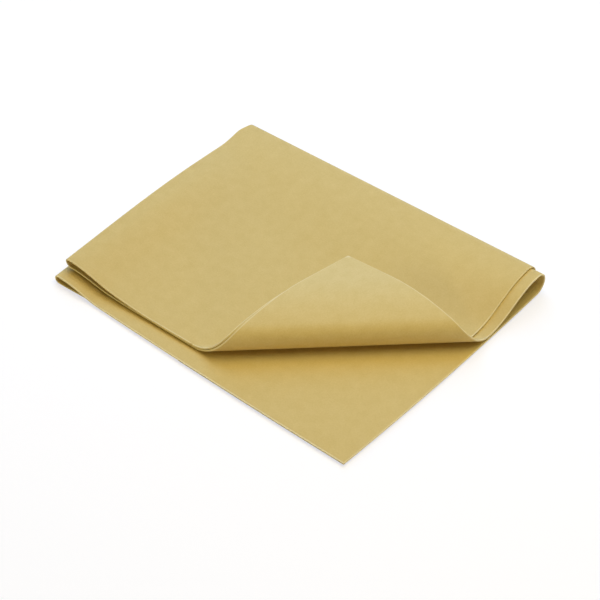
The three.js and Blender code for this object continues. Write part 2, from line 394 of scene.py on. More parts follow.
def polygon_normal(corners: Array) -> Array:
    """Direction that a flat polygon faces."""
    spokes = corners[1:] - corners[0]
    return unit(np.cross(spokes[:-1], spokes[1:]).sum(axis=0))


def write_attribute(mesh: bpy.types.Mesh, name: str, values: Array) -> None:
    """Writes one number or one vector for each point of a mesh."""
    kind, key = ("FLOAT_VECTOR", "vector") if values.ndim > 1 else ("FLOAT", "value")
    mesh.attributes.new(name, kind, "POINT").data.foreach_set(key, values.astype(np.float32).ravel())


def grid_normals(points: Array) -> Array:
    """Directions out of a closed band of rows by ring points, without its first and last spare row."""
    round_it = np.roll(points, -1, axis=1) - np.roll(points, 1, axis=1)
    return unit(np.cross(round_it[1:-1], points[2:] - points[:-2]))


def stack_rows(rows: Sequence[tuple[Array, Array]]) -> tuple[Array, Array]:
    """Points and unfolded places of several rows, rows by ring points by 3."""
    return np.stack([row[0] for row in rows]), np.stack([row[1] for row in rows])


@dataclass(frozen=True)
class FoldedPair:
    """The cloth folded in half at its left side, and that pair of layers folded again at the back.

    Attributes are driving sizes in mm. A front edge is placed where it meets the side fold, a right edge
    and the side fold at Y 0. The hump is the top half's slope down from the back fold, and it is longer by
    hump_bow halfway across. loop_hold is the power that keeps the side folds open far back, and
    top_loop_rake is the share of its room by which the top loop leans.
    """

    thickness: float = 1.2
    layer_gap: float = 0.3
    half_gap: float = 0.9
    rim: float = 0.45
    side_fold: Edge = Edge(-134.7, -0.03)
    back_fold_y: float = 108.5
    back_corner_pull: float = 3.2
    back_corner_reach: float = 16.0
    bottom_front: Edge = Edge(-109.3, -0.0135, 1.4)
    lowest_recess: float = 2.4
    lowest_recess_reach: float = 42.0
    outer: LayerEdges = LayerEdges(
        top_front=Edge(-99.5, 0.0255, 1.75),
        bottom_right=Edge(131.6, -0.011),
        top_right=Edge(132.4, -0.0267),
    )
    inner: LayerEdges = LayerEdges(
        top_front=Edge(-99.5, 0.006, -0.7),
        bottom_right=Edge(137.0, 0.023, 2.0),
        top_right=Edge(139.6, -0.006),
    )
    back_radius_left: float = 5.0
    back_radius_right: float = 10.2
    hump_length_left: float = 35.0
    hump_length_right: float = 60.0
    hump_bow: float = 60.0
    bottom_puff: Puff = Puff(4.3, 12.0, 46.0)
    top_puff: Puff = Puff(4.8, 8.0, 90.0)
    half_lift: Puff = Puff(1.4, 30.0, 66.0)
    loop_hold: float = 5.0
    bottom_fold_drift: float = 1.5
    top_loop_rake: float = 0.5

    @property
    def pair_height(self) -> float:
        """Height of two layers."""
        return 2 * self.thickness + self.layer_gap

    @property
    def stack_top(self) -> float:
        """Height of all four layers."""
        return 2 * self.pair_height + self.half_gap

    def edges(self, layer: Layer) -> LayerEdges:
        """Cut edges of a layer."""
        return self.outer if layer is Layer.OUTER else self.inner

    def share_across(self, x: Number) -> Number:
        """Share of the way from the side fold to the right edge."""
        return (x - self.side_fold.place) / (self.inner.top_right.place - self.side_fold.place)

    def right_x(self, edge: Edge, y: Number) -> Number:
        """X of a right edge at a Y."""
        return edge.place + edge.lean * y + edge.bow * (1 - (y / self.back_fold_y) ** 2)

    def front_y(self, edge: Edge, x: Number) -> Number:
        """Y of a front edge at an X."""
        bow = edge.bow * arch(self.share_across(x))
        return edge.place + edge.lean * (x - self.side_fold.place) - bow

    def bottom_front_y(self, layer: Layer, x: Array) -> Array:
        """Y of the bottom half's front edge; the lowest layer's draws back away from the side fold."""
        drawn_back = self.lowest_recess * ease(x - self.side_fold.place, 0.0, self.lowest_recess_reach)
        return self.front_y(self.bottom_front, x) + (drawn_back if layer is Layer.OUTER else 0.0)

    def back_radius(self, x: Number) -> Number:
        """Radius of the back fold's outer face."""
        return mix(self.back_radius_left, self.back_radius_right, self.share_across(x))

    def bend_start_y(self, x: Number) -> Number:
        """Y where the bottom half leaves the floor and the top half leaves the back fold."""
        return self.back_fold_y - self.back_radius(x)

    def hump_end_y(self, x: Array) -> Array:
        """Y where the hump before the back fold has come down to the flat stack."""
        length = mix(self.hump_length_left, self.hump_length_right, self.share_across(x))
        return self.bend_start_y(x) - length - self.hump_bow * arch(self.share_across(x))

    def openness(self, y: Number, front: float, x: Number) -> Number:
        """How open the side folds stand: 1 at the front edge, 0 at the back fold."""
        along = np.clip((y - front) / (self.bend_start_y(x) - front), 0.0, 1.0)
        return 1 - along**self.loop_hold * (self.loop_hold + 1 - self.loop_hold * along)

    def room(self, puff: Puff, front: Edge, x: Number, y: Number) -> Number:
        """Extra room between layers beside the side fold, fully open at a front edge."""
        closed = ease(x - self.side_fold.place, puff.stretch, puff.reach)
        return puff.height * (1 - closed) * self.openness(y, front.place, x)

    def pair_room(self, zone: Zone, x: Number, y: Number) -> Number:
        """Extra room between the two layers of a pair.

        Args:
            zone: stretch of the cloth
            x: places across the cloth
            y: places along it

        Returns:
            the room, in mm
        """
        if zone is Zone.BOTTOM:
            return self.room(self.bottom_puff, self.bottom_front, x, y)
        if zone is Zone.TOP:
            return self.room(self.top_puff, self.inner.top_front, x, y)
        return np.zeros_like(x)

    def top_height(self, x: Array, y: Array) -> Array:
        """Height of the top half's upper face.

        Args:
            x: places across the cloth
            y: places along it

        Returns:
            the heights
        """
        pairs = self.pair_room(Zone.BOTTOM, x, y) + self.pair_room(Zone.TOP, x, y)
        between = self.room(self.half_lift, self.inner.top_front, x, y)
        hump = long_ease(y, self.hump_end_y(x), self.bend_start_y(x))
        return self.stack_top + pairs + between + (2 * self.back_radius(x) - self.stack_top) * hump

    def top_way(self, x: Array, y: Array) -> Array:
        """Way along the unfolded cloth to the top half, from the back fold's start on the bottom half."""
        return (self.back_radius(x) - self.pair_height / 2) * np.pi + self.bend_start_y(x) - y

    def crest_row_y(self, row: Row) -> float:
        """Y at which a row crosses the side fold.

        Args:
            row: line across the cloth

        Returns:
            the Y
        """
        fold = self.side_fold.place
        start = self.bend_start_y(fold)
        if row.zone is Zone.BEND:
            return start + self.back_radius(fold) * math.sin(row.place)
        out = self.rim * math.sin(row.rim)
        if row.zone is Zone.BOTTOM:
            return mix(self.bottom_front.place + self.rim, start, row.place) - out
        return mix(start, self.inner.top_front.place + self.rim, row.place) - out

    def side_fold_at(self, row: Row) -> tuple[float, float, float]:
        """The side fold's loop at a row.

        Args:
            row: line across the cloth

        Returns:
            X of the loop's crest, its outer radius, and how far its inner end lies right of its outer end
        """
        y = self.crest_row_y(row)
        pulled_from = self.back_fold_y - self.back_corner_reach
        drawn_in = self.back_corner_pull * ease(y, pulled_from, self.back_fold_y)
        crest = self.side_fold.place + self.side_fold.lean * y + drawn_in
        room = float(self.pair_room(row.zone, self.side_fold.place, y))
        if row.zone is Zone.BOTTOM:
            crest -= self.bottom_fold_drift * (1 - row.place)
        rake = self.top_loop_rake * room if row.zone is Zone.TOP else 0.0
        return crest, (self.pair_height + room) / 2, rake


@dataclass(frozen=True)
class TurnedCorner:
    """The corner of the top half, turned back in a roll along a slanting line, with a flap that bends down.

    Attributes are driving sizes in mm and degrees. slant_start is the share of the top half's length from
    which its right edge's rounding slants to meet the roll.
    """

    pair: FoldedPair
    direction_deg: float = 42.8
    middle: tuple[float, float] = (69.3, -23.0)
    radius: float = 12.0
    turn_deg: float = 160.0
    bend_length: float = 40.0
    tip_height: float = 22.8
    tip_width: float = 1.0
    inset_tip_width: float = 0.6
    slant_start: float = 0.8

    @property
    def along(self) -> Array:
        """Direction along the roll, seen from above."""
        angle = math.radians(self.direction_deg)
        return np.array([math.cos(angle), math.sin(angle)])

    @property
    def across(self) -> Array:
        """Direction across the roll towards the turned corner, seen from above."""
        return np.array([self.along[1], -self.along[0]])

    @property
    def left_rim(self) -> float:
        """Room for the rounded front edge, measured along the roll."""
        return self.pair.rim / self.along[1]

    @property
    def right_rim(self) -> float:
        """Room for the rounded right edge, measured along the roll."""
        return self.pair.rim / self.along[0]

    @property
    def roll_turn(self) -> float:
        """Turn of the roll in radians."""
        return math.radians(self.turn_deg)

    @property
    def roll_length(self) -> float:
        """Length of the roll's convex face."""
        return self.radius * self.roll_turn

    @property
    def floor(self) -> float:
        """Height at which the roll starts."""
        return self.pair.stack_top - self.pair.pair_height

    def depth(self, layer: Layer) -> float:
        """Distance in from the roll's convex face to a layer."""
        return self.pair.thickness + self.pair.layer_gap if layer is Layer.OUTER else 0.0

    def ends(self, layer: Layer, flat_distance: float) -> tuple[float, float]:
        """Where the cut edges cross a line of the flat corner along the roll.

        Args:
            layer: layer of the pair
            flat_distance: distance of the line from the start of the roll, on the flat cloth

        Returns:
            place along the roll of the front edge, and of the right edge
        """
        front, right = self.pair.edges(layer).top_front, self.pair.edges(layer).top_right
        x, y = np.array(self.middle) + self.across * flat_distance
        left_end = 0.0
        for _ in range(PASSES):
            left_end = (self.pair.front_y(front, x + left_end * self.along[0]) - y) / self.along[1]
        right_end = (right.place + right.lean * y - x) / (self.along[0] - right.lean * self.along[1])
        return float(left_end), float(right_end)

    def width(self, layer: Layer, flat_distance: float) -> float:
        """Width of the flat corner along the roll."""
        left, right = self.ends(layer, flat_distance)
        return right - left

    def flat_tip(self, layer: Layer, width: float) -> float:
        """Distance from the start of the roll at which the flat corner has narrowed to a width."""
        farthest = 2 * self.pair.back_fold_y
        return halved(lambda place: self.width(layer, place) > width, 0.0, farthest)

    def profile(self, distance: float, flap_turn: float) -> tuple[float, float, float]:
        """Side view of the corner's convex face.

        Args:
            distance: way along the face from the start of the roll
            flap_turn: whole turn of the flap's bend

        Returns:
            place across the roll, height above its start, and turn from the flat cloth
        """
        roll = min(distance, self.roll_length) / self.radius
        on_bend = min(max(distance - self.roll_length, 0.0), self.bend_length)
        bend = flap_turn * on_bend / self.bend_length
        chord = on_bend * np.sinc(bend / 2 / np.pi)
        straight = max(distance - self.roll_length - self.bend_length, 0.0)
        turn = roll + bend
        heading = roll + bend / 2
        across = self.radius * math.sin(roll) + chord * math.cos(heading) + straight * math.cos(turn)
        up = self.radius * (1 - math.cos(roll)) + chord * math.sin(heading) + straight * math.sin(turn)
        return across, up, turn

    def way_to(self, layer: Layer, flat_distance: float, flap_turn: float) -> float:
        """Way along the convex face to a flat distance beyond the flap's bend."""
        middle = self.depth(layer) + self.pair.thickness / 2
        return flat_distance + middle * (self.roll_turn + flap_turn)

    def flap_turn(self) -> float:
        """Turn of the flap's bend that brings the tip to its height.

        Returns:
            the turn in radians
        """
        tip = self.flat_tip(Layer.INNER, self.tip_width)
        rise = self.tip_height - self.floor

        def too_high(turn: float) -> bool:
            """Whether a turn leaves the tip above its height."""
            return self.profile(self.way_to(Layer.INNER, tip, turn), turn)[1] > rise

        return halved(too_high, -math.pi / 2, math.pi / 2)

    def on_line(self, along: Number) -> Array:
        """Points seen from above, on the line where the roll starts."""
        return np.array(self.middle) + np.multiply.outer(np.asarray(along), self.along)


@dataclass(frozen=True)
class Spacing:
    """How finely the cloth is divided, in mm and degrees.

    widest_band is the most of a column's width that the band beside a cut edge may take up.
    """

    flat: float = 3.2
    fine: float = 1.2
    fine_reach: float = 12.0
    loop_steps: int = 16
    bend_deg: float = 5.0
    roll: float = 1.4
    rim_steps: int = 4
    edge_band: float = 0.8
    widest_band: float = 0.7


@dataclass(frozen=True)
class ClothSurface:
    """Places of the folded cloth's points, for every piece that is cut from it."""

    pair: FoldedPair
    corner: TurnedCorner
    spacing: Spacing

    def corner_shares(self) -> Array:
        """Shares of the columns that run into the turned corner, from the front edge to the right edge."""
        width = self.corner.width(Layer.OUTER, 0.0)
        return banded(spread(0.0, 1.0, self.spacing.flat / width)[1:-1], self.spacing.edge_band / width)

    def narrowed(self, share: Array, layer: Layer, width: float) -> Array:
        """Shares across the corner at a width, which keep the band beside each cut edge as it was."""
        band = share[1] * self.corner.width(layer, 0.0) / width
        return banded(share[2:-2], min(band, self.spacing.widest_band * share[2]))

    def pair_columns(self) -> Columns:
        """Columns from the outer layer's right edge, round the side fold, to the inner layer's.

        Returns:
            the columns
        """
        width = self.roll_corner(Layer.OUTER)[0] - self.pair.side_fold.place
        fine_end = self.spacing.fine_reach / width
        near = spread(0.0, fine_end, self.spacing.fine / width)
        far = spread(fine_end, 1.0, self.spacing.flat / width)
        left = np.concatenate([near[1:], far[1:-1]])
        right = self.corner_shares()
        turns = np.linspace(0.0, np.pi, self.spacing.loop_steps + 1)
        blocks = [right[::-1], left[::-1], np.zeros_like(turns), left, right]
        sizes = [len(block) for block in blocks]
        meets_corner = np.repeat([True, False, False, False, True], sizes)
        loop = np.repeat([False, False, True, False, False], sizes)
        turn = np.repeat([0.0, 0.0, 0.0, np.pi, np.pi], sizes)
        turn[loop] = turns
        return Columns(np.concatenate(blocks), turn, meets_corner, loop)

    def corner_columns(self) -> Columns:
        """Columns along the roll."""
        share = self.corner_shares()
        return Columns(share, *np.zeros((3, len(share)), bool))

    def roll_corner(self, layer: Layer) -> Array:
        """Point where a layer's top front edge meets the roll."""
        return self.corner.on_line(self.corner.ends(layer, 0.0)[0])

    def right_limit(self, layer: Layer, share: float, x: float) -> float:
        """X of a layer's right edge at the back fold, where the edge and the fold lean on each other.

        Args:
            layer: layer of the pair
            share: share of the way round the back fold
            x: first guess

        Returns:
            X of the edge
        """
        pair, edges = self.pair, self.pair.edges(layer)
        for _ in range(PASSES):
            start = pair.bend_start_y(x)
            x = mix(pair.right_x(edges.bottom_right, start), pair.right_x(edges.top_right, start), share)
        return x

    def upper_block(self, layer: Layer, share: Array, along: float) -> tuple[Array, Array]:
        """Places on the top half that runs into the roll, between four corners.

        Args:
            layer: layer of the pair
            share: share of the way from the roll's left end to the right edge
            along: share of the way from the back fold to the roll

        Returns:
            X and Y
        """
        left, right = self.corner.ends(layer, 0.0)
        near_front = self.corner.on_line(left + self.corner.left_rim)
        far_front = self.corner.on_line(right - self.corner.right_rim)
        far_back_x = self.right_limit(layer, 1.0, far_front[0]) - self.pair.rim
        back_x = mix(self.roll_corner(layer)[0], far_back_x, share)
        x = mix(back_x, mix(near_front[0], far_front[0], share), along)
        y = mix(self.pair.bend_start_y(back_x), mix(near_front[1], far_front[1], share), along)
        return x, y

    def lower_block(self, layer: Layer, row: Row, share: Array) -> Array:
        """Places across the right block, on the bottom half and round the back fold.

        Args:
            layer: layer of the pair
            row: line across the cloth
            share: share of the way from the roll's left end to the right edge

        Returns:
            X
        """
        pair = self.pair
        corner_x = self.roll_corner(layer)[0]
        x = np.full(len(share), corner_x)
        for _ in range(PASSES):
            if row.zone is Zone.BEND:
                limit = self.right_limit(layer, row.place / np.pi, x[-1])
            else:
                front_y = pair.bottom_front_y(layer, x) + pair.rim
                y = mix(front_y, pair.bend_start_y(x), row.place)
                limit = pair.right_x(pair.edges(layer).bottom_right, y)
            x = mix(corner_x, limit - pair.rim, share)
        return x

    def seen_from_above(
        self, row: Row, columns: Columns, loop_end: float, rake: float
    ) -> tuple[Array, Array]:
        """Places of a row's columns on the layers, without the side fold's loop.

        Args:
            row: line across the cloth
            columns: columns of the pair
            loop_end: X where the side fold's loop ends on the outer layer
            rake: how much further right it ends on the inner layer

        Returns:
            X and Y of every column; Y is where the bend starts on rows round the back fold
        """
        pair, share = self.pair, columns.share
        x, y = np.zeros(columns.count), np.zeros(columns.count)
        for layer, chosen in ((Layer.OUTER, columns.outer), (Layer.INNER, ~columns.outer)):
            left, right = chosen & ~columns.right, chosen & columns.right
            start_x = loop_end if layer is Layer.OUTER else loop_end + rake
            if row.zone is Zone.TOP:
                end_x = self.upper_block(layer, np.zeros(1), row.place)[0][0]
                x[left] = mix(start_x, end_x, share[left])
                front_y = pair.front_y(pair.edges(layer).top_front, x[left]) + pair.rim
                y[left] = mix(pair.bend_start_y(x[left]), front_y, row.place)
                x[right], y[right] = self.upper_block(layer, share[right], row.place)
                continue
            x[left] = mix(start_x, self.roll_corner(layer)[0], share[left])
            x[right] = self.lower_block(layer, row, share[right])
            y[chosen] = pair.bend_start_y(x[chosen])
            if row.zone is Zone.BOTTOM:
                y[chosen] = mix(pair.bottom_front_y(layer, x[chosen]) + pair.rim, y[chosen], row.place)
        return x, y

    def pair_row(self, row: Row, columns: Columns) -> tuple[Array, Array]:
        """Ring of points round the folded pair at a row.

        Args:
            row: line across the cloth
            columns: columns of the pair

        Returns:
            points in mm, and their places on the unfolded cloth
        """
        pair = self.pair
        column, side, over_last, over_first = columns.ring()
        over = over_last + over_first
        crest, radius, rake = pair.side_fold_at(row)
        base_x, base_y = self.seen_from_above(row, columns, crest + radius, rake)
        x, y = base_x[column], base_y[column]
        turn, loop, right = columns.turn[column], columns.loop[column], columns.right[column]
        outer = columns.outer[column]
        out = math.sin(row.rim)
        side = np.where(right & (columns.share[column] > 0), side, side * math.cos(row.rim))
        reach = radius - pair.thickness / 2 * (1 - side)
        x = np.where(loop, crest + radius - reach * np.sin(turn) + rake * (1 - np.cos(turn)) / 2, x)
        y = np.where(loop, self.loop_y(row, x, turn), y)
        if row.zone is Zone.TOP:
            slant = self.corner.along[1] / self.corner.along[0]
            x = x - np.where(right, pair.rim * out / slant, 0.0)
            y = y + over * pair.rim * slant * ease(row.place, self.corner.slant_start, 1.0)
        x = x + over * pair.rim
        y = y - pair.rim * out
        room = pair.pair_room(row.zone, x, y)
        near = np.where(outer, 0.0, pair.thickness + pair.layer_gap + room)
        depth = near + pair.thickness / 2 * np.where(outer, 1 - side, 1 + side)
        depth = np.where(loop, radius - reach * np.cos(turn), depth)
        points = np.stack(self.raised(row, x, y, depth), axis=-1)
        return points, self.pair_places(row, x, y, turn, side, crest + radius)

    def loop_y(self, row: Row, x: Array, turn: Array) -> Array:
        """Y of the side fold's loop before its rim.

        Args:
            row: line across the cloth
            x: places across the cloth
            turn: turn round the side fold

        Returns:
            Y, or where the bend starts on rows round the back fold
        """
        pair = self.pair
        start = pair.bend_start_y(x)
        if row.zone is Zone.BEND:
            return start
        if row.zone is Zone.BOTTOM:
            outer, inner = (pair.bottom_front_y(layer, x) for layer in Layer)
            return mix(mix(outer, inner, turn / np.pi) + pair.rim, start, row.place)
        outer, inner = (pair.front_y(pair.edges(layer).top_front, x) for layer in Layer)
        return mix(start, mix(outer, inner, turn / np.pi) + pair.rim, row.place)

    def raised(self, row: Row, x: Array, y: Array, depth: Array) -> tuple[Array, Array, Array]:
        """Points at depths in from the outer face of the pair.

        Args:
            row: line across the cloth
            x: places across the cloth
            y: places along it, or where the bend starts on rows round the back fold
            depth: distances in from the outer face

        Returns:
            X, Y and Z
        """
        if row.zone is Zone.BOTTOM:
            return x, y, depth
        if row.zone is Zone.TOP:
            return x, y, self.pair.top_height(x, y) - depth
        radius = self.pair.back_radius(x)
        reach = radius - depth
        return x, y + reach * math.sin(row.place), radius - reach * math.cos(row.place)

    def pair_places(self, row: Row, x: Array, y: Array, turn: Array, side: Array, loop_end: float) -> Array:
        """Places on the unfolded cloth.

        Args:
            row: line across the cloth
            x: places across the folded cloth
            y: places along it
            turn: turn round the side fold
            side: side of the cloth
            loop_end: X where the side fold's loop ends

        Returns:
            distance from the side fold, way along the cloth, and depth in it
        """
        pair = self.pair
        on_face = np.abs(np.cos(turn)) > 1 - TINY
        from_fold = -np.cos(turn) * (np.where(on_face, x, loop_end) - pair.side_fold.place)
        if row.zone is Zone.BOTTOM:
            way = y - pair.bend_start_y(x)
        elif row.zone is Zone.BEND:
            way = (pair.back_radius(x) - pair.pair_height / 2) * row.place
        else:
            way = pair.top_way(x, y)
        return np.stack([from_fold, way, pair.thickness / 2 * (1 - side)], axis=-1)

    def corner_row(self, layer: Layer, columns: Columns, distance: float, rim: float) -> tuple[Array, Array]:
        """Ring of points round one layer of the turned corner.

        Args:
            layer: layer of the pair
            columns: columns of the corner
            distance: way along the roll's convex face from its start
            rim: turn round the tip's cut edge

        Returns:
            points in mm, and their places on the unfolded cloth
        """
        corner, pair = self.corner, self.pair
        column, side, over_right, over_left = columns.ring()
        side = side * math.cos(rim)
        flap_turn = corner.flap_turn()
        middle = corner.depth(layer) + pair.thickness / 2
        flat = distance - middle * corner.profile(distance, flap_turn)[2]
        left, right = corner.ends(layer, flat)
        share = self.narrowed(columns.share, layer, right - left)
        along = mix(left + corner.left_rim, right - corner.right_rim, share[column])
        along = along + over_right * corner.right_rim - over_left * corner.left_rim
        out = pair.rim * math.sin(rim)
        across, up, turn = corner.profile(distance + out, flap_turn)
        facing = 1.0 if layer is Layer.OUTER else -1.0
        depth = middle + facing * side * pair.thickness / 2
        seen = corner.on_line(along) + np.multiply.outer(across - depth * math.sin(turn), corner.across)
        points = np.column_stack([seen, corner.floor + up + depth * math.cos(turn)])
        flat_x, flat_y = (corner.on_line(along) + (flat + out) * corner.across).T
        from_fold = -facing * (flat_x - pair.side_fold.place)
        way = pair.top_way(flat_x, flat_y)
        return points, np.stack([from_fold, way, pair.thickness / 2 * (1 - side)], axis=-1)


@dataclass(frozen=True)
class PackedFrame:
    """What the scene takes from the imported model.

    Attributes:
        joints: its joints by their names
        cloth_shift: place of the cloth's own origin in it, in metres
    """

    joints: dict[str, dict]
    cloth_shift: Array

    @classmethod
    def read(cls, frame: dict, pair: FoldedPair) -> PackedFrame:
        """Reads the joints, and where the cloth's own origin lies.

        Args:
            frame: the loaded frame
            pair: the folded cloth, whose back fold carries the middle back joint

        Returns:
            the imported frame
        """
        joints = {joint["name"]: joint for joint in frame["joints"]}
        x, y, _ = joints["back_fold_2"]["pos_m"]
        return cls(joints, np.array([x, y - pair.back_fold_y * MM, 0.0]))

    def bend(self, piece: Piece, name: str, heading: Array, before: Array, after: Array) -> None:
        """Bakes a piece's place into its mesh; it does not make the piece bend at the hinge.

        Args:
            piece: piece that crosses the hinge
            name: the hinge's joint; not used
            heading: direction of the cloth at the bend line; not used
            before: points in mm that stay with the body before it; not used
            after: points in mm that turn with the body after it; not used
        """
        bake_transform(piece)


def fill(tree: Tree, node: bpy.types.Node, inputs: Inputs) -> None:
    """Links or sets a node's inputs.

    Args:
        tree: nodes of a material or of the world
        node: the node
        inputs: a socket to link or a value to set, by each input's name or number
    """
    for key, value in inputs.items():
        if isinstance(value, Socket):
            tree.links.new(value, node.inputs[key])
        else:
            node.inputs[key].default_value = value


def add_node(tree: Tree, kind: str, inputs: Inputs, **options: str) -> bpy.types.Node:
    """Adds a node.

    Args:
        tree: nodes of a material or of the world
        kind: the node's type
        inputs: what its inputs are linked or set to
        options: the node's own settings

    Returns:
        the node
    """
    node = tree.nodes.new(kind)
    for option, value in options.items():
        setattr(node, option, value)
    fill(tree, node, inputs)
    return node


def mixed_colour(
    tree: Tree, share: Socket, first: Socket | Colour, second: Socket | Colour, blend: Blend = Blend.MIX
) -> Socket:
    """A colour between two others.

    Args:
        tree: nodes of a material or of the world
        share: share of the second colour
        first: colour or colour socket at share 0
        second: colour or colour socket at share 1
        blend: whether share 1 gives the second colour, or the first one times the second

    Returns:
        the mixed colour
    """
    colours = [value if isinstance(value, Socket) else (*value, 1.0) for value in (first, second)]
    inputs = dict(zip(MIX_INPUTS, (share, *colours)))
    node = add_node(tree, "ShaderNodeMix", inputs, data_type="RGBA", blend_type=blend.value)
    return node.outputs[MIX_RESULT]


@dataclass(frozen=True)
class Pattern:
    """A noise pattern that follows the cloth.

    Attributes:
        scale: features for each metre
        detail: octaves of finer detail
        roughness: strength of each octave, as a share of the one before
    """

    scale: float
    detail: float
    roughness: float

    def value(self, tree: Tree, place: Socket) -> Socket:
        """The pattern's value at a place on the unfolded cloth."""
        inputs = {"Vector": place, "Scale": self.scale, "Detail": self.detail, "Roughness": self.roughness}
        return add_node(tree, "ShaderNodeTexNoise", inputs).outputs["Fac"]


@dataclass(frozen=True)
class ClothFinish:
    """Matte, suede-like nap of a synthetic chamois.

    Attributes:
        light: colour of the raised nap
        dark: colour between it
        turned: painted light, how much lighter and bluer the turned corner is made where it catches the
            light
        edge: colour of a cut edge, partly its own lighter colour and partly a painted highlight
        mottle: blotches
        nap: clumps of the nap
        nap_share: share of the clumps in the colour, beside the blotches
        contrast: values of both together that give the dark and the light colour
    """

    name: str = "suede_nap"
    light: Colour = (0.657, 0.52, 0.218)
    dark: Colour = (0.581, 0.443, 0.16)
    # Painted light on the turned corner: lighter and bluer
    turned: Colour = (1.05, 1.085, 1.2)
    # Cut edges: partly their own lighter colour, partly a painted highlight
    edge: Colour = (0.74, 0.64, 0.36)
    mottle: Pattern = Pattern(110.0, 5.0, 0.68)
    nap: Pattern = Pattern(900.0, 3.0, 0.5)
    nap_share: float = 0.5
    contrast: tuple[float, float] = (0.3, 0.7)
    roughness: float = 0.95
    specular: float = 0.15
    sheen: float = 0.12
    sheen_roughness: float = 0.45
    sheen_tint: Colour = (1.0, 0.93, 0.72)
    bump_strength: float = 0.35
    bump_height: float = 0.00025

    def material(self) -> bpy.types.Material:
        """Makes the material from nodes.

        Returns:
            the material
        """
        made = bpy.data.materials.new(self.name)
        made.use_nodes = True
        tree = made.node_tree
        place = self.attribute(tree, PLACE).outputs["Vector"]
        nap = self.nap.value(tree, place)
        base = self.nap_colour(tree, self.mottle.value(tree, place), nap)
        # Painted light: the turned corner is made lighter and bluer, from none at the roll's start to full
        # on the flap
        painted_light = self.attribute(tree, PAINTED_FLAP_LIGHT).outputs["Fac"]
        base = mixed_colour(tree, painted_light, base, self.turned, Blend.MULTIPLY)
        # Cut edges get a lighter colour, partly their own and partly a painted highlight
        cut = self.attribute(tree, CUT_EDGE_AND_HIGHLIGHT).outputs["Fac"]
        heights = {"Strength": self.bump_strength, "Distance": self.bump_height, "Height": nap}
        inputs = {
            "Base Color": mixed_colour(tree, cut, base, self.edge),
            "Normal": add_node(tree, "ShaderNodeBump", heights).outputs["Normal"],
            "Roughness": self.roughness,
            "Specular IOR Level": self.specular,
            "Sheen Weight": self.sheen,
            "Sheen Roughness": self.sheen_roughness,
            "Sheen Tint": (*self.sheen_tint, 1.0),
        }
        fill(tree, tree.nodes["Principled BSDF"], inputs)
        return made

    def nap_colour(self, tree: Tree, mottle: Socket, nap: Socket) -> Socket:
        """Colour of the nap with its blotches and clumps.

        Args:
            tree: the material's nodes
            mottle: value of the blotches
            nap: value of the clumps

        Returns:
            the colour
        """
        part = add_node(tree, "ShaderNodeMath", {0: nap, 1: self.nap_share}, operation="MULTIPLY").outputs[0]
        terms = {0: mottle, 1: 1 - self.nap_share, 2: part}
        both = add_node(tree, "ShaderNodeMath", terms, operation="MULTIPLY_ADD").outputs[0]
        low, high = self.contrast
        share = add_node(tree, "ShaderNodeMapRange", {"Value": both, "From Min": low, "From Max": high})
        return mixed_colour(tree, share.outputs[0], self.dark, self.light)

    @staticmethod
    def attribute(tree: Tree, name: str) -> bpy.types.Node:
        """A node that reads one of the mesh's attributes."""
        return add_node(tree, "ShaderNodeAttribute", {}, attribute_name=name)


@dataclass
class ClothPiece:
    """One piece that is cut from the cloth.

    Attributes:
        surface: places of the cloth's points
        packed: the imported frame
        material: the cloth's finish
    """

    surface: ClothSurface
    packed: PackedFrame
    material: bpy.types.Material

    def new_mesh(self) -> ClothMesh:
        """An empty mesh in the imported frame."""
        return ClothMesh(self.packed.cloth_shift)

    def dress(self, mesh: ClothMesh, name: str, *nodes: str) -> Piece:
        """Makes a piece from its mesh, with its finish, and hides the solids that it stands for.

        Args:
            mesh: the piece's mesh
            name: the piece's name
            nodes: names of the solids

        Returns:
            the piece
        """
        piece = mesh.build(name)
        piece.data.materials.append(self.material)
        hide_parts(*nodes)
        log.info("%s: %d faces", piece.name, len(piece.data.polygons))
        return piece


